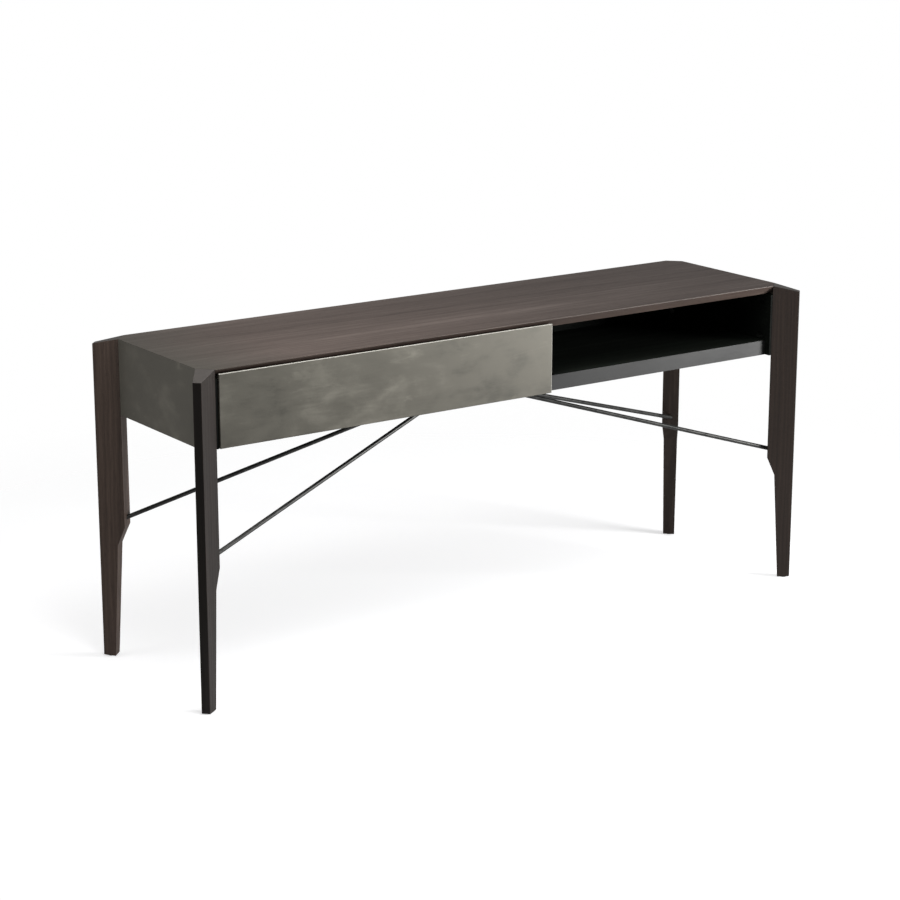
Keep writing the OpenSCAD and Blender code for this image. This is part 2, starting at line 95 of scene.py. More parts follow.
studio = {
    "floorRadius": 2.3,
    "floorFade": 1.7,                     # width of the rim where the floor gives way to the white room
    "floorColour": (0.80, 0.80, 0.81, 1),
    "floorRoughness": 0.9,
    "floorGloss": 0.1,
    "floorLift": 0.50,                    # glow that only the camera sees
    "dimSide": (0.26, 0.27, 0.28, 1),
    "brightSide": (0.42, 0.41, 0.40, 1),
    "brightWay": (-0.60, 0.80, 0.20),     # the way to the brightest part of the room
    "brightFall": (-0.6, 1.0),            # how squarely a part of the room lies that way, dim to bright
    "lights": [
        {"name": "keyLight", "place": (2.2, -1.9, 0.8), "aim": (-0.1, -0.2, 0.62), "size": 1.1, "power": 111},
        {"name": "overheadLight", "place": (-0.62, -0.62, 1.7), "aim": (-0.35, -0.15, 0.75), "size": 0.8,
         "power": 19},
        {"name": "leftLight", "place": (-2.7, 0.8, 1.0), "aim": (-0.85, 0.1, 0.6), "size": 1.2, "power": 8},
    ],
}


def addNode(tree, kind, settings=None, inputs=None):
    made = tree.nodes.new("ShaderNode" + kind)
    for key, value in (settings or {}).items():
        setattr(made, key, value)
    for key, value in (inputs or {}).items():
        made.inputs[key].default_value = value
    return made


def buildRoom(setup):
    scene.view_settings.view_transform = "Standard"
    world = bpy.data.worlds.new("room")
    world.use_nodes = True
    scene.world = world
    tree = world.node_tree
    join = tree.links.new
    background = tree.nodes["Background"]
    output = tree.nodes["World Output"]
    white = addNode(tree, "Background", inputs={"Color": (1, 1, 1, 1), "Strength": 1.0})
    way = addNode(tree, "TexCoord")
    facing = addNode(tree, "VectorMath", {"operation": "DOT_PRODUCT"})
    facing.inputs[1].default_value = Vector(setup["brightWay"]).normalized()
    fall = setup["brightFall"]
    spread = addNode(tree, "MapRange", inputs={"From Min": fall[0], "From Max": fall[1]})
    roomTone = addNode(tree, "Mix", {"data_type": "RGBA"})
    roomTone.inputs[6].default_value = setup["dimSide"]
    roomTone.inputs[7].default_value = setup["brightSide"]
    rays = addNode(tree, "LightPath")
    choose = addNode(tree, "MixShader")
    join(way.outputs["Generated"], facing.inputs[0])
    join(facing.outputs["Value"], spread.inputs["Value"])
    join(spread.outputs["Result"], roomTone.inputs[0])
    join(roomTone.outputs[2], background.inputs["Color"])
    join(rays.outputs["Is Camera Ray"], choose.inputs[0])
    join(background.outputs[0], choose.inputs[1])
    join(white.outputs[0], choose.inputs[2])
    join(choose.outputs[0], output.inputs["Surface"])
    for light in setup["lights"]:
        data = bpy.data.lights.new(light["name"], "AREA")
        data.size = light["size"]
        data.energy = light["power"]
        lamp = bpy.data.objects.new(light["name"], data)
        lamp.location = light["place"]
        toAim = Vector(light["aim"]) - Vector(light["place"])
        lamp.rotation_euler = toAim.to_track_quat("-Z", "Y").to_euler()
        lamp.visible_camera = False
        scene.collection.objects.link(lamp)


def buildFloor(setup):
    disc = bmesh.new()
    bmesh.ops.create_circle(disc, cap_ends=True, segments=96, radius=setup["floorRadius"])
    mesh = bpy.data.meshes.new("floor")
    disc.to_mesh(mesh)
    disc.free()
    floor = bpy.data.objects.new("floor", mesh)
    material = bpy.data.materials.new("paleFloor")
    material.use_nodes = True
    tree = material.node_tree
    join = tree.links.new
    shader = tree.nodes["Principled BSDF"]
    shader.inputs["Base Color"].default_value = setup["floorColour"]
    shader.inputs["Roughness"].default_value = setup["floorRoughness"]
    shader.inputs["Specular IOR Level"].default_value = setup["floorGloss"]
    shader.inputs["Emission Color"].default_value = (1, 1, 1, 1)
    # lifted to white for the camera only, so that it lights the table no more than a pale floor would
    rays = addNode(tree, "LightPath")
    lift = addNode(tree, "Math", {"operation": "MULTIPLY"})
    lift.inputs[1].default_value = setup["floorLift"]
    join(rays.outputs["Is Camera Ray"], lift.inputs[0])
    join(lift.outputs[0], shader.inputs["Emission Strength"])
    # clear at its rim, and from below
    place = addNode(tree, "TexCoord")
    reach = addNode(tree, "VectorMath", {"operation": "LENGTH"})
    join(place.outputs["Object"], reach.inputs[0])
    rim = addNode(tree, "MapRange", {"interpolation_type": "SMOOTHSTEP"}, {
        "From Min": setup["floorRadius"] - setup["floorFade"], "From Max": setup["floorRadius"]})
    join(reach.outputs["Value"], rim.inputs["Value"])
    geometry = addNode(tree, "NewGeometry")
    most = addNode(tree, "Math", {"operation": "MAXIMUM"})
    join(rim.outputs["Result"], most.inputs[0])
    join(geometry.outputs["Backfacing"], most.inputs[1])
    clear = addNode(tree, "BsdfTransparent")
    choose = addNode(tree, "MixShader")
    join(most.outputs[0], choose.inputs[0])
    join(shader.outputs[0], choose.inputs[1])
    join(clear.outputs[0], choose.inputs[2])
    join(choose.outputs[0], tree.nodes["Material Output"].inputs["Surface"])
    mesh.materials.append(material)
    scene.collection.objects.link(floor)


buildRoom(studio)
buildFloor(studio)
print("studio built")


# finishes

grainTurn = {"x": (0, 0, 0), "y": (0, 0, -math.pi / 2), "z": (0, math.pi / 2, 0)}


def startFinish(name):
    material = bpy.data.materials.new(name)
    material.use_nodes = True
    tree = material.node_tree
    return material, tree, tree.nodes["Principled BSDF"]


def runCoords(tree, source, stretch, offset=(0, 0, 0), turn=(0, 0, 0)):
    mapping = addNode(tree, "Mapping")
    mapping.inputs["Location"].default_value = offset
    mapping.inputs["Rotation"].default_value = turn
    mapping.inputs["Scale"].default_value = stretch
    tree.links.new(source, mapping.inputs["Vector"])
    return mapping.outputs["Vector"]


def noiseValue(tree, coords, scale, detail=4, roughness=0.55, distortion=0.0):
    noise = addNode(tree, "TexNoise", inputs={
        "Scale": scale, "Detail": detail, "Roughness": roughness, "Distortion": distortion})
    tree.links.new(coords, noise.inputs["Vector"])
    return noise.outputs["Fac"]


def weighed(tree, parts, start=0.0):
    # adds up values, each times its own weight
    total = None
    for value, weight in parts:
        step = addNode(tree, "Math", {"operation": "MULTIPLY_ADD"})
        tree.links.new(value, step.inputs[0])
        step.inputs[1].default_value = weight
        if total is None:
            step.inputs[2].default_value = start
        else:
            tree.links.new(total, step.inputs[2])
        total = step.outputs[0]
    return total


def ramped(tree, value, stops):
    ramp = addNode(tree, "ValToRGB")
    elements = ramp.color_ramp.elements
    ramp.color_ramp.interpolation = "EASE"
    while len(elements) < len(stops):
        elements.new(0.5)
    for element, (place, colour) in zip(elements, stops):
        element.position = place
        element.color = (*colour, 1)
    tree.links.new(value, ramp.inputs["Fac"])
    return ramp.outputs["Color"]


def spreadValue(tree, value, fromRange, toRange):
    spread = addNode(tree, "MapRange", inputs={
        "From Min": fromRange[0], "From Max": fromRange[1], "To Min": toRange[0], "To Max": toRange[1]})
    tree.links.new(value, spread.inputs["Value"])
    return spread.outputs["Result"]


def addBump(tree, shader, height, strength, distance):
    bump = addNode(tree, "Bump", inputs={"Strength": strength, "Distance": distance})
    tree.links.new(height, bump.inputs["Height"])
    tree.links.new(bump.outputs["Normal"], shader.inputs["Normal"])


def veiled(tree, source, colour, veil):
    # a thin veil of another colour that comes in towards one end of the board, with a ragged edge
    place = addNode(tree, "SeparateXYZ")
    tree.links.new(source, place.inputs[0])
    ragged = noiseValue(tree, runCoords(tree, source, veil["raggedStretch"]), veil["raggedScale"], detail=5)
    reach = veil["raggedReach"]
    along = weighed(tree, [(place.outputs["X"], 1.0), (ragged, reach)], start=-reach / 2)
    amount = spreadValue(tree, along, veil["from"], (0, veil["amount"]))
    mix = addNode(tree, "Mix", {"data_type": "RGBA"})
    tree.links.new(amount, mix.inputs[0])
    tree.links.new(colour, mix.inputs[6])
    mix.inputs[7].default_value = (*veil["colour"], 1)
    return mix.outputs[2]


oakTones = {
    "table": {"deep": (0.034, 0.023, 0.018), "body": (0.070, 0.050, 0.041), "light": (0.120, 0.090, 0.076)},
    "leg": {"deep": (0.023, 0.015, 0.0115), "body": (0.050, 0.0335, 0.0255), "light": (0.080, 0.055, 0.043)},
    "cap": {"deep": (0.028, 0.024, 0.021), "body": (0.054, 0.047, 0.042), "light": (0.088, 0.078, 0.070)},
    # near-black tones for the legs' outer narrow faces, standing for the shade that falls on them: painted
    # shade
    "legEdge": {"deep": (0.004, 0.003, 0.0025), "body": (0.008, 0.0062, 0.005),
                "light": (0.014, 0.011, 0.009)},
    # near-black tones for the boards inside the open bay, darkened to the depth of the shade in it: painted
    # shade
    "inside": {"deep": (0.0026, 0.0036, 0.0025), "body": (0.0058, 0.0076, 0.0056),
               "light": (0.0145, 0.0180, 0.0140)},
    "beech": {"deep": (0.42, 0.29, 0.17), "body": (0.56, 0.41, 0.26), "light": (0.66, 0.51, 0.34)},
    "drawerBox": {"deep": (0.050, 0.034, 0.026), "body": (0.105, 0.075, 0.058),
                  "light": (0.150, 0.110, 0.088)},
}
# stretch is how much slower the grain changes along the board than across it
oakGrain = {
    "bands": {"stretch": 0.10, "scale": 7, "detail": 3, "roughness": 0.55, "weight": 0.70},
    "streaks": {"stretch": 0.035, "scale": 34, "detail": 6, "roughness": 0.65, "weight": 0.85},
    "fine": {"stretch": 0.02, "scale": 420, "detail": 3, "roughness": 0.70, "weight": 0.55},
    "pores": {"stretch": 0.045, "scale": 950, "detail": 2, "roughness": 0.55, "weight": -0.35},
    "poreRange": (0.60, 0.72),
    "ringStretch": 0.07,
    "ringTurn": (0, 0.03, 0.04),
    "rings": {"Scale": 30, "Distortion": 9, "Detail": 4, "Detail Scale": 1.1, "Detail Roughness": 0.62},
    "balance": -0.63,
    "stops": (0.12, 0.48, 0.86),
    "relief": {"fine": 0.6, "rings": 0.15, "pores": -0.9},
}


def oakFinish(name, tone, grain, roughness=(0.40, 0.56), figure=0.16, heart=(0, 0.035, 0.06), paintedLightScale=1.0,
              gloss=0.35, veil=None):
    # open-grain oak: long streaks, growth rings round a heart beside the board, and fine dark pores
    material, tree, shader = startFinish(name)
    source = addNode(tree, "TexCoord").outputs["Object"]
    lengthways = runCoords(tree, source, (1, 1, 1), turn=grainTurn[grain])
    layers = {}
    for key in ("bands", "streaks", "fine", "pores"):
        layer = oakGrain[key]
        coords = runCoords(tree, lengthways, (layer["stretch"], 1, 1))
        layers[key] = noiseValue(tree, coords, layer["scale"], layer["detail"], layer["roughness"])
    layers["pores"] = spreadValue(tree, layers["pores"], oakGrain["poreRange"], (0, 1))
    ringWave = {"wave_type": "RINGS", "rings_direction": "X", "wave_profile": "SIN"}
    rings = addNode(tree, "TexWave", ringWave, oakGrain["rings"])
    ringStretch = (oakGrain["ringStretch"], 1, 1)
    ringCoords = runCoords(tree, lengthways, ringStretch, offset=heart, turn=oakGrain["ringTurn"])
    tree.links.new(ringCoords, rings.inputs["Vector"])
    parts = [(value, oakGrain[key]["weight"]) for key, value in layers.items()]
    layers["rings"] = rings.outputs["Fac"]
    total = weighed(tree, parts + [(layers["rings"], figure)], start=oakGrain["balance"])
    # this scale darkens the tones below 1 and lightens them above 1: painted shade and painted light
    tones = [[paintedLightScale * value for value in oakTones[tone][key]] for key in ("deep", "body", "light")]
    colour = ramped(tree, total, list(zip(oakGrain["stops"], tones)))
    if veil:
        colour = veiled(tree, source, colour, veil)
    tree.links.new(colour, shader.inputs["Base Color"])
    sheen = spreadValue(tree, total, (0.1, 0.9), (roughness[1], roughness[0]))
    tree.links.new(sheen, shader.inputs["Roughness"])
    relief = weighed(tree, [(layers[key], weight) for key, weight in oakGrain["relief"].items()])
    addBump(tree, shader, relief, strength=0.35, distance=0.0004)
    shader.inputs["Specular IOR Level"].default_value = gloss
    return material


pewterTones = {
    "panel": {"deep": (0.046, 0.044, 0.036), "body": (0.092, 0.086, 0.070), "light": (0.160, 0.150, 0.124)},
    # pale tones for the drawer front's eased top and right edges: painted highlight
    "edge": {"deep": (0.36, 0.345, 0.31), "body": (0.47, 0.455, 0.41), "light": (0.58, 0.565, 0.52)},
    # the bottom's front lipping: the same pewter lacquer made near black, standing for the shade on the
    # recessed edge: painted shade
    "lipping": {"deep": (0.0085, 0.0085, 0.0083), "body": (0.0135, 0.0135, 0.013),
                "light": (0.020, 0.020, 0.019)},
}
pewterLayers = {
    "clouds": {"stretch": (1, 1, 1), "turn": 0, "scale": 4.2, "detail": 6, "roughness": 0.55,
               "distortion": 0.4, "weight": 0.85},
    "patches": {"stretch": (0.8, 1, 1.5), "turn": 0, "scale": 15, "detail": 4, "roughness": 0.55,
                "distortion": 0.3, "weight": 0.55},
    "rubbing": {"stretch": (0.12, 1, 1), "turn": 0, "scale": 160, "detail": 4, "roughness": 0.7,
                "distortion": 0, "weight": 0.16},
    "wisps": {"stretch": (0.5, 1, 1.8), "turn": -0.35, "scale": 14, "detail": 6, "roughness": 0.6,
              "distortion": 0.9, "weight": 0.16},
}
pewterMix = {
    "wispRange": (0.60, 0.74),
    "balance": -0.30,
    "stops": (0.15, 0.50, 0.88),
    "grade": {"patches": 0.6, "rubbing": 0.4},
    "relief": {"patches": 0.5, "rubbing": 0.3, "wisps": 0.2},
}


def pewterFinish(name, tone, roughness=(0.36, 0.52), metal=0.55, seed=0.0):
    # metal lacquer, rubbed by hand: soft clouds, paler wisps and fine rubbing marks
    material, tree, shader = startFinish(name)
    source = addNode(tree, "TexCoord").outputs["Object"]
    shifted = runCoords(tree, source, (1, 1, 1), offset=(seed, seed, seed))
    layers = {}
    for key, layer in pewterLayers.items():
        coords = runCoords(tree, shifted, layer["stretch"], turn=(0, layer["turn"], 0))
        layers[key] = noiseValue(tree, coords, layer["scale"], layer["detail"], layer["roughness"],
                                 layer["distortion"])
    layers["wisps"] = spreadValue(tree, layers["wisps"], pewterMix["wispRange"], (0, 1))
    parts = [(value, pewterLayers[key]["weight"]) for key, value in layers.items()]
    total = weighed(tree, parts, start=pewterMix["balance"])
    tones = [pewterTones[tone][key] for key in ("deep", "body", "light")]
    colour = ramped(tree, total, list(zip(pewterMix["stops"], tones)))
    tree.links.new(colour, shader.inputs["Base Color"])
    grade = weighed(tree, [(layers[key], weight) for key, weight in pewterMix["grade"].items()])
    tree.links.new(spreadValue(tree, grade, (0.3, 0.7), roughness), shader.inputs["Roughness"])
    shader.inputs["Metallic"].default_value = metal
    relief = weighed(tree, [(layers[key], weight) for key, weight in pewterMix["relief"].items()])
    addBump(tree, shader, relief, strength=0.12, distance=0.0006)
    return material


metalTones = {
    "darkSteel": {"deep": (0.020, 0.020, 0.019), "light": (0.055, 0.055, 0.052), "roughness": (0.34, 0.50),
                  "metal": 0.7},
    "zincSteel": {"deep": (0.42, 0.43, 0.44), "light": (0.66, 0.67, 0.68), "roughness": (0.24, 0.40),
                  "metal": 1.0},
    "insertBrass": {"deep": (0.42, 0.31, 0.13), "light": (0.66, 0.50, 0.24), "roughness": (0.28, 0.42),
                    "metal": 1.0},
    "blackNylon": {"deep": (0.012, 0.012, 0.012), "light": (0.024, 0.024, 0.023), "roughness": (0.48, 0.62),
                   "metal": 0.0},
    "greyPlastic": {"deep": (0.34, 0.34, 0.33), "light": (0.46, 0.46, 0.45), "roughness": (0.38, 0.50),
                    "metal": 0.0},
}
drawnMix = {"unevenScale": 38, "lineScale": 700, "lineStretch": 0.15, "uneven": 0.7, "lines": 0.3}


def drawnFinish(name):
    # drawn or moulded stock: fine drawing lines and a little unevenness
    tones = metalTones[name]
    material, tree, shader = startFinish(name)
    source = addNode(tree, "TexCoord").outputs["Object"]
    uneven = noiseValue(tree, source, drawnMix["unevenScale"], detail=5, roughness=0.6)
    lineCoords = runCoords(tree, source, (drawnMix["lineStretch"], 1, 1))
    lines = noiseValue(tree, lineCoords, drawnMix["lineScale"], detail=3, roughness=0.7)
    total = weighed(tree, [(uneven, drawnMix["uneven"]), (lines, drawnMix["lines"])])
    colour = ramped(tree, total, [(0.30, tones["deep"]), (0.70, tones["light"])])
    tree.links.new(colour, shader.inputs["Base Color"])
    tree.links.new(spreadValue(tree, total, (0.3, 0.7), tones["roughness"]), shader.inputs["Roughness"])
    shader.inputs["Metallic"].default_value = tones["metal"]
    addBump(tree, shader, total, strength=0.10, distance=0.0002)
    return material


metalVeil = {
    "from": (-0.56, -0.82),
    "amount": 0.75,
    "colour": (0.040, 0.038, 0.029),
    "raggedStretch": (0.3, 1, 1),
    "raggedScale": 9,
    "raggedReach": 0.16,
}
oakTop = oakFinish("oakTop", "table", "x", heart=(0, 0.05, -0.82), veil=metalVeil)
# the top's underside and undercut: the same oak at 0.9 of its brightness, painted shade
oakTopUnderShaded = oakFinish("oakTopUnderShaded", "table", "x", heart=(0, 0.05, -0.82), paintedLightScale=0.90, gloss=0.25)
oakLegCap = oakFinish("oakLegCap", "cap", "z", figure=0.0, gloss=0.5)
# each leg has its own copy of the oak, scaled to how much light falls on that leg: the front legs and the
# rear right are painted darker, painted shade, and the rear left lighter, painted light
legPaintedLight = {"front_left": 0.27, "front_right": 0.37, "rear_left": 1.15, "rear_right": 0.46}
oakLegs = {}
for word, paintedLightScale in legPaintedLight.items():
    oakLegs[word] = oakFinish("oakLegPaintedLight_" + word, "leg", "z", figure=0.22, paintedLightScale=paintedLightScale, gloss=0.20)
oakLegEdgeShaded = oakFinish("oakLegEdgeShaded", "legEdge", "z", gloss=0.15)
oakInsideX = oakFinish("oakInsideX", "inside", "x", roughness=(0.55, 0.70), gloss=0.10)
oakInsideZ = oakFinish("oakInsideZ", "inside", "z", roughness=(0.55, 0.70), gloss=0.10)
# the bay's walls and their front edges: darker still, at 0.35 of the inside tones, painted shade
oakInsideWallShaded = oakFinish("oakInsideWallShaded", "inside", "x", roughness=(0.60, 0.75), paintedLightScale=0.35, gloss=0.05)
oakInsideEdgeShaded = oakFinish("oakInsideEdgeShaded", "inside", "z", roughness=(0.60, 0.75), paintedLightScale=0.35, gloss=0.05)
beechDowel = oakFinish("beechDowel", "beech", "z", figure=0.05)
oakDrawerX = oakFinish("oakDrawerX", "drawerBox", "x")
oakDrawerY = oakFinish("oakDrawerY", "drawerBox", "y")
pewterPanel = pewterFinish("pewterPanel", "panel")
# pale copy of the pewter for the drawer front's lit edges: painted highlight
pewterEdgeHighlight = pewterFinish("pewterEdgeHighlight", "edge", roughness=(0.30, 0.42), metal=0.3)
# near-black pewter for the recessed lipping: painted shade
pewterLippingShaded = pewterFinish("pewterLippingShaded", "lipping", seed=3.0)
darkSteel = drawnFinish("darkSteel")
zincSteel = drawnFinish("zincSteel")
insertBrass = drawnFinish("insertBrass")
blackNylon = drawnFinish("blackNylon")
greyPlastic = drawnFinish("greyPlastic")
print("finishes mixed")


# bench tools: every piece is a closed mesh in its own place

softAngle = 8          # degrees, below which an edge between two faces is not eased
holePlay = 0.00005     # room round a pin, a screw or a rod in its hole
runIn = 0.003          # how far a cutter starts before the face it enters


def boxCorners(low, high):
    return [Vector((x, y, z)) for x in (low.x, high.x) for y in (low.y, high.y) for z in (low.z, high.z)]


def sawnBoard(low, high, cuts=()):
    # a box cut by planes, each given by a point on it and the way it faces
    stock = bmesh.new()
    bmesh.ops.convex_hull(stock, input=[stock.verts.new(p) for p in boxCorners(low, high)])
    for point, facing in cuts:
        everything = stock.verts[:] + stock.edges[:] + stock.faces[:]
        cut = bmesh.ops.bisect_plane(stock, geom=everything, dist=1e-7, plane_co=point, plane_no=facing,
                                     clear_outer=True)
        rim = [e for e in cut["geom_cut"] if isinstance(e, bmesh.types.BMEdge)]
        bmesh.ops.contextual_create(stock, geom=rim)
    bmesh.ops.dissolve_limit(stock, angle_limit=math.radians(1), verts=stock.verts, edges=stock.edges)
    bmesh.ops.recalc_face_normals(stock, faces=stock.faces)
    return stock


def easeEdges(stock, width, segments=2, edgeSlot=0):
    sharp = [e for e in stock.edges if e.calc_face_angle() > math.radians(softAngle)]
    eased = bmesh.ops.bevel(stock, geom=sharp, offset=width, segments=segments, profile=0.5, affect="EDGES",
                            clamp_overlap=True)
    for face in eased["faces"]:
        face.material_index = edgeSlot
    bmesh.ops.recalc_face_normals(stock, faces=stock.faces)
    return stock


def markFaces(stock, way, slot, least=0.5, area=0.0):
    # gives a slot to the faces that look one way
    for face in stock.faces:
        if face.normal.dot(Vector(way)) > least and face.calc_area() > area:
            face.material_index = slot
    return stock


def turned(profile, segments=40):
    # turns (radius, height) points about Z; the first and last radius may be 0
    stock = bmesh.new()
    rings = []
    for radius, height in profile:
        if radius == 0:
            rings.append([stock.verts.new((0, 0, height))])
            continue
        ring = []
        for k in range(segments):
            angle = 2 * math.pi * k / segments
            ring.append(stock.verts.new((radius * math.cos(angle), radius * math.sin(angle), height)))
        rings.append(ring)
    for lower, upper in zip(rings, rings[1:]):
        for k in range(segments):
            n = (k + 1) % segments
            loop = [lower[k % len(lower)], lower[n % len(lower)]]
            loop += [upper[n % len(upper)], upper[k % len(upper)]]
            stock.faces.new(list(dict.fromkeys(loop)))      # a point at the axis counts once
    bmesh.ops.recalc_face_normals(stock, faces=stock.faces)
    return stock


def placed(stock, places):
    # copies one stock piece to each of the given places
    pattern = bpy.data.meshes.new("pattern")
    stock.to_mesh(pattern)
    group = bmesh.new()
    for place in places:
        copy = pattern.copy()
        copy.transform(place)
        group.from_mesh(copy)
        bpy.data.meshes.remove(copy)
    bpy.data.meshes.remove(pattern)
    stock.free()
    return group


def pointing(place, direction):
    # puts Z along a direction, with its origin at a place
    return Matrix.Translation(place) @ Vector(direction).to_track_quat("Z", "Y").to_matrix().to_4x4()


def drilled(radius, start, way, depth, before=runIn):
    # a plain round cutter that goes to a depth and begins a little before the face
    shape = turned([(0, -before), (radius, -before), (radius, depth), (0, depth)])
    return placed(shape, [pointing(start, way)])


def evenly(first, last, count):
    return [first + (last - first) * k / (count - 1) for k in range(count)]


def extruded(outline, start, stop, across=(0, 2), along=1):
    # runs a closed outline from one place to another along X, Y or Z
    stock = bmesh.new()
    rows = []
    for place in (start, stop):
        row = []
        for point in outline:
            corner = [0.0, 0.0, 0.0]
            corner[across[0]], corner[across[1]], corner[along] = point[0], point[1], place
            row.append(stock.verts.new(corner))
        rows.append(row)
        stock.faces.new(row)
    for k in range(len(outline)):
        n = (k + 1) % len(outline)
        stock.faces.new([rows[0][k], rows[0][n], rows[1][n], rows[1][k]])
    bmesh.ops.recalc_face_normals(stock, faces=stock.faces)
    return stock


def rounded(outline, radii, steps=4):
    # rounds the corners of an outline, each with its own radius
    result = []
    count = len(outline)
    for k, radius in enumerate(radii):
        here = Vector(outline[k])
        before = (Vector(outline[k - 1]) - here).normalized()
        after = (Vector(outline[(k + 1) % count]) - here).normalized()
        for i in range(steps + 1):
            t = i / steps
            a, b = here + before * radius, here + after * radius
            result.append(a * (1 - t) ** 2 + here * 2 * t * (1 - t) + b * t ** 2)
    return result


# shares of the head's thickness and width, and of the shank's and the drive's width
screwForm = {
    "crown": 0.35,
    "crownMost": 0.0006,
    "flat": 0.72,
    "shoulder": 0.93,
    "shoulderDrop": 0.4,
    "point": 0.6,
    "pointWidth": 0.55,
    "slot": 0.22,
    "sides": 28,
}


def screwStock(shape):
    # Z runs from the underside of the head down the shank
    head, thick, shank, length = shape["head"], shape["thick"], shape["shank"], shape["length"]
    form = screwForm
    crown = min(form["crown"] * thick, form["crownMost"])
    profile = [(0, -thick), (head * form["flat"], -thick)]
    profile += [(head * form["shoulder"], -thick + form["shoulderDrop"] * crown), (head, -thick + crown)]
    profile += [(head, 0), (shank, 0), (shank, length - form["point"] * shank)]
    profile += [(form["pointWidth"] * shank, length), (0, length)]
    return turned(profile, form["sides"])


def driveCutters(shape):
    top, bottom = -shape["thick"] - runIn, -shape["thick"] + shape["driveDepth"]
    size = shape["drive"]
    if shape["kind"] == "hex":
        hexagon = [(size * math.cos(math.pi / 3 * k), size * math.sin(math.pi / 3 * k)) for k in range(6)]
        return [extruded(hexagon, top, bottom, across=(0, 1), along=2)]
    narrow = screwForm["slot"] * size
    arms = ((size, narrow), (narrow, size))
    return [sawnBoard(Vector((-x, -y, top)), Vector((x, y, bottom))) for x, y in arms]


def makeScrews(name, node, shape, places, material):
    # one screw is turned and its drive is cut, then it is set at every place
    single = makeObject("pattern", screwStock(shape), [])
    carve(single, driveCutters(shape))
    stock = bmesh.new()
    stock.from_mesh(single.data)
    bpy.data.objects.remove(single)
    piece = makeObject(name, placed(stock, places), [material], smooth=35)
    fitPiece(piece, node)


def makeObject(name, stock, materials, smooth=None):
    mesh = bpy.data.meshes.new(name)
    stock.to_mesh(mesh)
    stock.free()
    for material in materials:
        mesh.materials.append(material)
    if smooth is not None:
        mesh.shade_smooth()
        mesh.set_sharp_from_angle(angle=math.radians(smooth))
    piece = bpy.data.objects.new(name, mesh)
    scene.collection.objects.link(piece)
    return piece


def fitPiece(piece, node):
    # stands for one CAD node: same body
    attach(piece, frame["nodes"][node]["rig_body"])
    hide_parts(node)


def carve(piece, cutters):
    # takes the cutters out of a piece, and throws them away
    for cutter in cutters:
        tool = makeObject("cutter", cutter, [])
        cut = piece.modifiers.new("cut", "BOOLEAN")
        cut.operation = "DIFFERENCE"
        cut.solver = "MANIFOLD"      # leaves closed meshes
        cut.object = tool
        bpy.context.view_layer.update()
        view = bpy.context.evaluated_depsgraph_get()
        carved = bpy.data.meshes.new_from_object(piece.evaluated_get(view))
        piece.modifiers.clear()
        old = piece.data
        piece.data = carved
        bpy.data.meshes.remove(old)
        bpy.data.objects.remove(tool)


# case

case = {
    "cornerCut": 0.0305,              # along each side
    "topNose": 0.002,                 # upright edge left above the top board's undercut
    "undercutReach": 0.020,
    "boltHeights": (0.010, 0.020),    # above the floor of the case, and below the top board
    "boltSeat": 0.014,
    "boltRadius": 0.004,
    "boltHole": (-0.010, 0.020),      # from outside a corner's cut face to inside it
    "pocketRadius": 0.0085,
    "pocketDepth": 0.040,
    "ease": {"top": 0.0006, "side": 0.0004, "back": 0.0006, "bottom": 0.0003, "divider": 0.0005},
}
topLow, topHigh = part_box("top_panel")
sideLow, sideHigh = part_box("side_panel_right")
backLow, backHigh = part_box("back_panel")
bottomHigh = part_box("bottom_panel")[1]
halfX, halfY = sideHigh.x, backHigh.y
legX, legY = halfX - case["cornerCut"] / 2, halfY - case["cornerCut"] / 2
corners = {"front_left": (-1, -1), "front_right": (1, -1), "rear_left": (-1, 1), "rear_right": (1, 1)}
boltHeights = [bottomHigh.z + case["boltHeights"][0], topLow.z - case["boltHeights"][1]]


def cornerCuts():
    return [(Vector((x * legX, y * legY, 0)), Vector((x, y, 0))) for x, y in corners.values()]


def mitreCut(side, outward):
    # the mitre runs from the top's outer edge down to the inner face of the side panel
    across, down = sideHigh.x - sideLow.x, topHigh.z - topLow.z
    facing = Vector((side * down, 0, -across)) * outward
    return Vector((side * halfX, 0, topHigh.z)), facing


def boltCutters(side):
    # a bolt's hole, and the pocket for its head on the inside
    first, last = case["boltHole"]
    cutters = []
    for end in (-1, 1):
        inward = Vector((-side, -end, 0)).normalized()
        for height in boltHeights:
            start = Vector((side * legX, end * legY, height))
            seat = start + inward * case["boltSeat"]
            cutters.append(drilled(case["boltRadius"], start, inward, last, before=-first))
            cutters.append(drilled(case["pocketRadius"], seat, inward, case["pocketDepth"], before=0))
    return cutters


def buildTop():
    nose, reach = case["topNose"], case["undercutReach"]
    undercut = Vector((0, -(topHigh.z - topLow.z - nose), -reach))
    cuts = cornerCuts() + [mitreCut(-1, 1), mitreCut(1, 1)]
    cuts.append((Vector((0, -halfY, topHigh.z - nose)), undercut))
    stock = easeEdges(sawnBoard(topLow, topHigh, cuts), case["ease"]["top"])
    # faces that look down take the darker copy of the oak: painted shade
    markFaces(stock, (0, 0, -1), 1, least=0.3)
    fitPiece(makeObject("topBoard", stock, [oakTop, oakTopUnderShaded]), "top_panel")


def buildSides():
    ease = case["ease"]["side"]
    for side, word in ((-1, "left"), (1, "right")):
        low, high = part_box("side_panel_" + word)
        stock = easeEdges(sawnBoard(low, high, cornerCuts() + [mitreCut(side, -1)]), ease)
        panel = makeObject("sidePanel_" + word, stock, [pewterPanel])
        carve(panel, boltCutters(side))
        fitPiece(panel, "side_panel_" + word)
        low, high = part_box("side_liner_" + word)
        # the liners take the darker inside copies: painted shade
        stock = markFaces(easeEdges(sawnBoard(low, high, cornerCuts()), ease), (0, -1, 0), 1)
        liner = makeObject("sideLiner_" + word, stock, [oakInsideWallShaded, oakInsideEdgeShaded])
        carve(liner, boltCutters(side))
        fitPiece(liner, "side_liner_" + word)


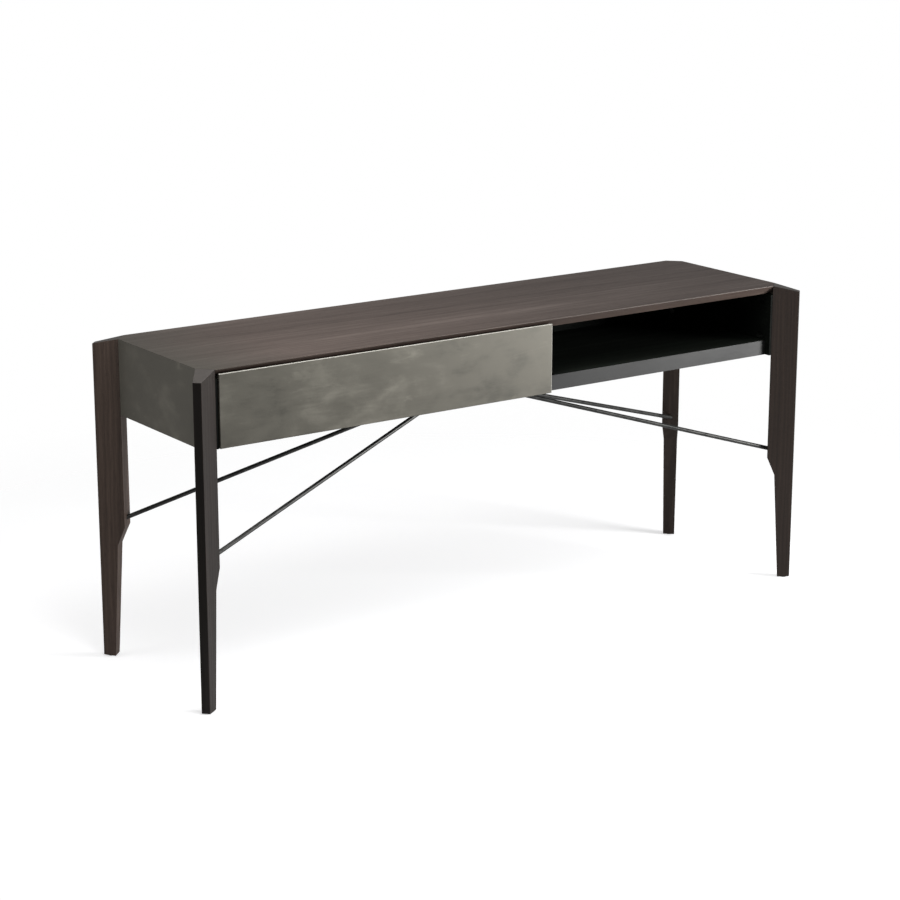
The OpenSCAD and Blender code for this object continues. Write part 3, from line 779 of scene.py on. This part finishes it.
def buildBoards():
    # the back's face inside the case is dark: painted shade
    ease = case["ease"]
    stock = easeEdges(sawnBoard(backLow, backHigh, cornerCuts()), ease["back"])
    markFaces(stock, (0, -1, 0), 1)
    fitPiece(makeObject("backPanel", stock, [pewterPanel, oakInsideWallShaded]), "back_panel")
    for name, node, width, finish in (("bottomPanel", "bottom_panel", ease["bottom"], oakInsideX),
                                      ("bottomLipping", "bottom_lipping", ease["side"], pewterLippingShaded),
                                      ("dividerPanel", "divider", ease["divider"], oakInsideZ)):
        low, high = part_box(node)
        fitPiece(makeObject(name, easeEdges(sawnBoard(low, high), width), [finish]), node)


buildTop()
buildSides()
buildBoards()
print("case built")


# legs

leg = {
    "depth": 0.0645,         # of a blade, from the cut corner outwards
    "innerThick": case["cornerCut"] * math.sqrt(2),
    "outerThick": 0.019,
    "drop": 0.015,           # slope of its top, down and outwards
    "shoulder": 0.314,       # height at which the inner edge starts to step back
    "shoulderHeight": 0.045,
    "shoulderStep": 0.019,
    "footDepth": 0.030,
    "glide": 0.0025,
    "glideRadius": 0.009,
    "glideRound": ((0.0012, 0), (0.0004, 0.0004), (0, 0.0011)),    # in from the rim, and up from the floor
    "stemRadius": 0.002,
    "stemTop": 0.0125,
    "stemEase": 0.001,
    "insertRadius": 0.00605,
    "insertLength": 0.018,
    "boltDepth": 0.022,
    "ease": 0.0009,
}
rod = {
    "radius": 0.005,
    "legHeight": 0.333,
    "embed": 0.020,
    "innerEnd": 0.030,       # along X from the middle of the table
    "cover": 0.0065,         # depth of a rod's axis below the hub plate, at its inner end
    "chamfer": 0.0008,
}


def legPlace(side, end):
    # X runs outwards along the blade and Z is up
    return Matrix.Translation((side * legX, end * legY, 0)) @ Matrix.Rotation(math.atan2(end, side), 4, "Z")


def rodLine(side, end):
    # a rod's axis, from the leg's inner face to the rod's inner end
    outer = Vector((side * legX, end * legY, rod["legHeight"]))
    inner = Vector((side * rod["innerEnd"], end * rod["innerEnd"] * legY / legX,
                    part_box("hub_plate")[0].z - rod["cover"]))
    return outer, inner


def legHoles(side, end):
    outward = Vector((side, end, 0)).normalized()
    holes = []
    for height in boltHeights:
        start = Vector((side * legX, end * legY, height))
        holes.append(drilled(leg["insertRadius"], start, outward, leg["insertLength"]))
        holes.append(drilled(case["boltRadius"], start, outward, leg["boltDepth"]))
    outer, inner = rodLine(side, end)
    holes.append(drilled(rod["radius"] + holePlay, outer, outer - inner, rod["embed"], before=rod["embed"]))
    foot = legPlace(side, end) @ Vector((leg["depth"] - leg["footDepth"] / 2, 0, 0))
    holes.append(drilled(leg["stemRadius"], foot, up, leg["stemTop"]))
    return holes


def buildLeg(word, side, end):
    depth, step = leg["depth"], leg["shoulderStep"]
    footInner = depth - leg["footDepth"]
    outline = [
        (0, topHigh.z), (0, leg["shoulder"]), (step, leg["shoulder"] - leg["shoulderHeight"]),
        (footInner, leg["glide"]), (depth, leg["glide"]), (depth, topHigh.z - leg["drop"]),
    ]
    stock = bmesh.new()
    sides = []
    for hand in (-1, 1):
        row = []
        for reach, height in outline:
            thick = leg["innerThick"] + (leg["outerThick"] - leg["innerThick"]) * reach / depth
            row.append(stock.verts.new((reach, hand * thick / 2, height)))
        sides.append(row)
        stock.faces.new(row)
    count = len(outline)
    for k in range(count):
        n = (k + 1) % count
        stock.faces.new([sides[0][k], sides[0][n], sides[1][n], sides[1][k]])
    bmesh.ops.recalc_face_normals(stock, faces=stock.faces)
    easeEdges(stock, leg["ease"])
    # the outer narrow faces take the near-black copy of the oak: painted shade
    markFaces(stock, (1, 0, 0), 1, least=0.9, area=0.001)
    markFaces(stock, (0, 0, 1), 2)
    stock.transform(legPlace(side, end))
    piece = makeObject("legBlade_" + word, stock, [oakLegs[word], oakLegEdgeShaded, oakLegCap])
    carve(piece, legHoles(side, end))
    fitPiece(piece, "leg_" + word)


def buildGlide(word, side, end):
    radius, thick = leg["glideRadius"], leg["glide"]
    stem, top, ease = leg["stemRadius"], leg["stemTop"], leg["stemEase"]
    profile = [(0, 0)] + [(radius - inset, rise) for inset, rise in leg["glideRound"]]
    profile += [(radius, thick), (stem, thick), (stem, top - ease), (stem - ease, top), (0, top)]
    place = legPlace(side, end) @ Matrix.Translation((leg["depth"] - leg["footDepth"] / 2, 0, 0))
    piece = makeObject("footGlide_" + word, placed(turned(profile), [place]), [blackNylon], smooth=40)
    fitPiece(piece, "glide_" + word)


for word, (side, end) in corners.items():
    buildLeg(word, side, end)
    buildGlide(word, side, end)
print("legs built")


# rods and their hub

def buildRod(word, side, end):
    outer, inner = rodLine(side, end)
    way = (inner - outer).normalized()
    length = (inner - outer).length + rod["embed"]
    radius, chamfer = rod["radius"], rod["chamfer"]
    profile = [(0, 0), (radius - chamfer, 0), (radius, chamfer)]
    profile += [(radius, length - chamfer), (radius - chamfer, length), (0, length)]
    stock = placed(turned(profile, 32), [pointing(outer - way * rod["embed"], way)])
    piece = makeObject("braceRod_" + word, stock, [darkSteel], smooth=30)
    fitPiece(piece, "rod_" + word)


hub = {
    "rodDepth": 0.096,
    "grubSetback": 0.011,
    "grubRadius": 0.002,
    "grubDepth": 0.008,
    "ease": 0.0015,
    "plateEase": 0.0006,
    "screwEdge": 0.0085,
    "screw": {"kind": "cross", "head": 0.0042, "thick": 0.002, "shank": 0.00225, "length": 0.018,
              "drive": 0.0022, "driveDepth": 0.0011},
}


def buildHub():
    low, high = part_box("hub_block")
    stock = easeEdges(sawnBoard(low, high), hub["ease"], segments=3)
    block = makeObject("hubBlock", stock, [darkSteel])
    holes = []
    grubs = rod["innerEnd"] + hub["grubSetback"]
    for side, end in corners.values():
        outer, inner = rodLine(side, end)
        holes.append(drilled(rod["radius"] + holePlay, inner, outer - inner, hub["rodDepth"], before=0))
        grub = Vector((side * grubs, end * grubs * legY / legX, low.z))
        holes.append(drilled(hub["grubRadius"] + holePlay, grub, up, hub["grubDepth"]))
    carve(block, holes)
    fitPiece(block, "hub_block")
    low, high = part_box("hub_plate")
    edge, screw = hub["screwEdge"], hub["screw"]
    spots = [Vector((x * (high.x - edge), y * (high.y - edge), low.z)) for x in (-1, 1) for y in (-1, 1)]
    plate = makeObject("hubPlate", easeEdges(sawnBoard(low, high), hub["plateEase"]), [darkSteel])
    carve(plate, [drilled(screw["shank"] + holePlay, spot, up, high.z - low.z + runIn) for spot in spots])
    fitPiece(plate, "hub_plate")
    makeScrews("hubScrews", "hub_screws", screw, [Matrix.Translation(spot) for spot in spots], zincSteel)


for word, (side, end) in corners.items():
    buildRod(word, side, end)
buildHub()
print("rods and hub built")


# bolts through the case

bolt = {"kind": "hex", "head": 0.0075, "thick": 0.0044, "shank": 0.004, "length": 0.035,
        "drive": 0.0029, "driveDepth": 0.0026}


def buildBolts():
    places = []
    for side, end in corners.values():
        outward = Vector((side, end, 0)).normalized()
        for height in boltHeights:
            spot = Vector((side * legX, end * legY, height)) - outward * case["boltSeat"]
            places.append(pointing(spot, outward))
    makeScrews("legBolts", "leg_bolts", bolt, places, darkSteel)


buildBolts()
print("bolts set")


# drawer

drawer = {
    "frontLip": 0.004,
    # the eased edge that carries the painted highlight
    "highlightBevel": 0.0014,
    "highlightFacing": 0.2,     # how squarely an eased edge must face up or right to take the painted highlight
    "boxWall": 0.012,
    "ease": 0.0006,
    "trayEase": 0.0003,
    "screwEnd": 0.100,
    "screwDrop": 0.020,
    "screwCount": 4,
    "screw": {"kind": "cross", "head": 0.004, "thick": 0.002, "shank": 0.002, "length": 0.024,
              "drive": 0.0021, "driveDepth": 0.0011},
}


def buildDrawerFront():
    low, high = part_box("drawer_front")
    slope = (topHigh.z - topLow.z - case["topNose"]) / case["undercutReach"]
    cut = (Vector((0, low.y + drawer["frontLip"], high.z)), Vector((0, slope, 1)))
    stock = easeEdges(sawnBoard(low, high, [cut]), drawer["highlightBevel"], edgeSlot=1)
    least = drawer["highlightFacing"]
    for face in stock.faces:
        behind = face.calc_center_median().y > low.y + 2 * drawer["highlightBevel"]
        plain = face.normal.z < least and face.normal.x < least
        if behind or plain:
            face.material_index = 0      # only the front's top and right edges, which face the light, take the painted highlight
    fitPiece(makeObject("drawerFront", stock, [pewterPanel, pewterEdgeHighlight]), "drawer_front")


def frontScrewSpots():
    low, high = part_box("drawer_inner_front")
    inset = drawer["screwEnd"] - drawer["boxWall"]
    height = high.z - drawer["screwDrop"]
    places = evenly(low.x + inset, high.x - inset, drawer["screwCount"])
    return [Vector((x, low.y, height)) for x in places]


def buildDrawerBox():
    trayLow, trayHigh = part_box("drawer_bottom")
    screw, wall = drawer["screw"], drawer["boxWall"]
    forwards = Vector((0, -1, 0))
    for node, name, finish in (("drawer_inner_front", "drawerInnerFront", oakDrawerX),
                               ("drawer_back", "drawerBack", oakDrawerX),
                               ("drawer_side_left", "drawerSide_left", oakDrawerY),
                               ("drawer_side_right", "drawerSide_right", oakDrawerY)):
        low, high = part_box(node)
        board = makeObject(name, easeEdges(sawnBoard(low, high), drawer["ease"]), [finish])
        cutters = [sawnBoard(trayLow, trayHigh)]     # the groove that the tray lies in
        if node == "drawer_inner_front":
            radius = screw["shank"] + holePlay
            cutters += [drilled(radius, spot, -forwards, wall + runIn) for spot in frontScrewSpots()]
        carve(board, cutters)
        fitPiece(board, node)
    stock = easeEdges(sawnBoard(trayLow, trayHigh), drawer["trayEase"])
    fitPiece(makeObject("drawerTray", stock, [oakDrawerX]), "drawer_bottom")
    places = [pointing(spot - forwards * wall, forwards) for spot in frontScrewSpots()]
    makeScrews("drawerFrontScrews", "drawer_front_screws", screw, places, zincSteel)


buildDrawerFront()
buildDrawerBox()
print("drawer built")


# drawer slides: three channels a side, one inside another

slide = {
    "sheet": 0.0014,
    "bend": 0.0022,
    "tip": 0.35,           # rounding of a flange's edge, as a share of the sheet
    "screwEnd": 0.025,
    "screwCount": 3,
    "screw": {"kind": "cross", "head": 0.003, "thick": 0.0008, "shank": 0.00175, "length": 0.0104,
              "drive": 0.0017, "driveDepth": 0.0005},
}


def channelStock(low, high, webLow):
    # folded sheet: the web stands at the low or the high side in X
    sheet, bend = slide["sheet"], slide["bend"]
    web, edge = (low.x, high.x) if webLow else (high.x, low.x)
    inner = web + sheet * (1 if webLow else -1)
    outline = [(web, low.z), (edge, low.z), (edge, low.z + sheet), (inner, low.z + sheet),
               (inner, high.z - sheet), (edge, high.z - sheet), (edge, high.z), (web, high.z)]
    tip, inside = sheet * slide["tip"], bend - sheet
    return extruded(rounded(outline, [bend, tip, tip, inside, inside, tip, tip, bend]), low.y, high.y)


def buildSlide(side, word, member):
    # gives back the places of the screws that hold it
    node = "slide_%s_%s" % (member, word)
    low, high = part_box(node)
    webLow = (side < 0) == (member != "drawer")
    piece = makeObject("slide%s_%s" % (member.title(), word), channelStock(low, high, webLow), [zincSteel],
                       smooth=40)
    places = []
    if member != "middle":
        into = Vector((-1 if webLow else 1, 0, 0))
        inner = (low.x + slide["sheet"]) if webLow else (high.x - slide["sheet"])
        ends = low.y + slide["screwEnd"], high.y - slide["screwEnd"]
        spots = [Vector((inner, y, (low.z + high.z) / 2)) for y in evenly(*ends, slide["screwCount"])]
        radius = slide["screw"]["shank"] + holePlay
        carve(piece, [drilled(radius, spot, into, slide["sheet"] + runIn) for spot in spots])
        places = [pointing(spot, into) for spot in spots]
    fitPiece(piece, node)
    return places


def buildSlides():
    places = {"cabinet": [], "middle": [], "drawer": []}
    for side, word in ((-1, "left"), (1, "right")):
        for member in places:
            places[member] += buildSlide(side, word, member)
    screw = slide["screw"]
    makeScrews("slideCabinetScrews", "slide_cabinet_screws", screw, places["cabinet"], zincSteel)
    makeScrews("slideDrawerScrews", "slide_drawer_screws", screw, places["drawer"], zincSteel)


buildSlides()
print("slides built")


# push latch

latch = {
    "flange": 0.012,
    "flangeThick": 0.0025,
    "bore": 0.0043,
    "boreDepth": 0.070,
    "ease": 0.0006,
    "pinEase": 0.0005,
    "pinDome": 0.5,        # height of the plunger's domed end, as a share of its radius
    "domeSteps": 6,
    "screw": {"kind": "cross", "head": 0.0035, "thick": 0.0015, "shank": 0.00175, "length": 0.0145,
              "drive": 0.0018, "driveDepth": 0.0008},
}


def buildLatchBody(bore):
    # gives back the places of the screws that hold it
    low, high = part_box("latch_body")
    flange, thin, screw = latch["flange"], latch["flangeThick"], latch["screw"]
    frontEnd, backEnd = low.y + flange, high.y - flange
    under = high.z - thin
    outline = [(low.y, high.z), (low.y, under), (frontEnd, under), (frontEnd, low.z),
               (backEnd, low.z), (backEnd, under), (high.y, under), (high.y, high.z)]
    stock = extruded(outline, low.x, high.x, across=(1, 2), along=0)
    body = makeObject("latchBody", easeEdges(stock, latch["ease"]), [blackNylon])
    face = Vector((bore.x, frontEnd, bore.z))
    spots = [Vector((bore.x, y, under)) for y in (low.y + flange / 2, high.y - flange / 2)]
    cutters = [drilled(latch["bore"], face, (0, 1, 0), latch["boreDepth"])]
    cutters += [drilled(screw["shank"] + holePlay, spot, up, thin + runIn) for spot in spots]
    carve(body, cutters)
    fitPiece(body, "latch_body")
    return [Matrix.Translation(spot) for spot in spots]


def buildPlunger(low, high):
    radius, length, ease = (high.z - low.z) / 2, high.y - low.y, latch["pinEase"]
    profile = [(0, 0)]
    for k in range(1, latch["domeSteps"] + 1):
        angle = math.pi / 2 * k / latch["domeSteps"]
        profile.append((radius * math.sin(angle), latch["pinDome"] * radius * (1 - math.cos(angle))))
    profile += [(radius, length - ease), (radius - ease, length), (0, length)]
    tip = Vector(((low.x + high.x) / 2, low.y, (low.z + high.z) / 2))
    pin = placed(turned(profile, 32), [pointing(tip, (0, 1, 0))])
    fitPiece(makeObject("latchPlunger", pin, [greyPlastic], smooth=35), "latch_plunger")


pinLow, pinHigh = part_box("latch_plunger")
screwPlaces = buildLatchBody((pinLow + pinHigh) / 2)
buildPlunger(pinLow, pinHigh)
makeScrews("latchScrews", "latch_screws", latch["screw"], screwPlaces, zincSteel)
print("latch built")


# pieces that stay as the frame gives them, hidden in the boards
hidden = {"panel_dowels": beechDowel, "leg_inserts": insertBrass, "hub_grub_screws": darkSteel}
for node, finish in hidden.items():
    slots = frame["nodes"][node].data.materials
    slots.clear()
    slots.append(finish)
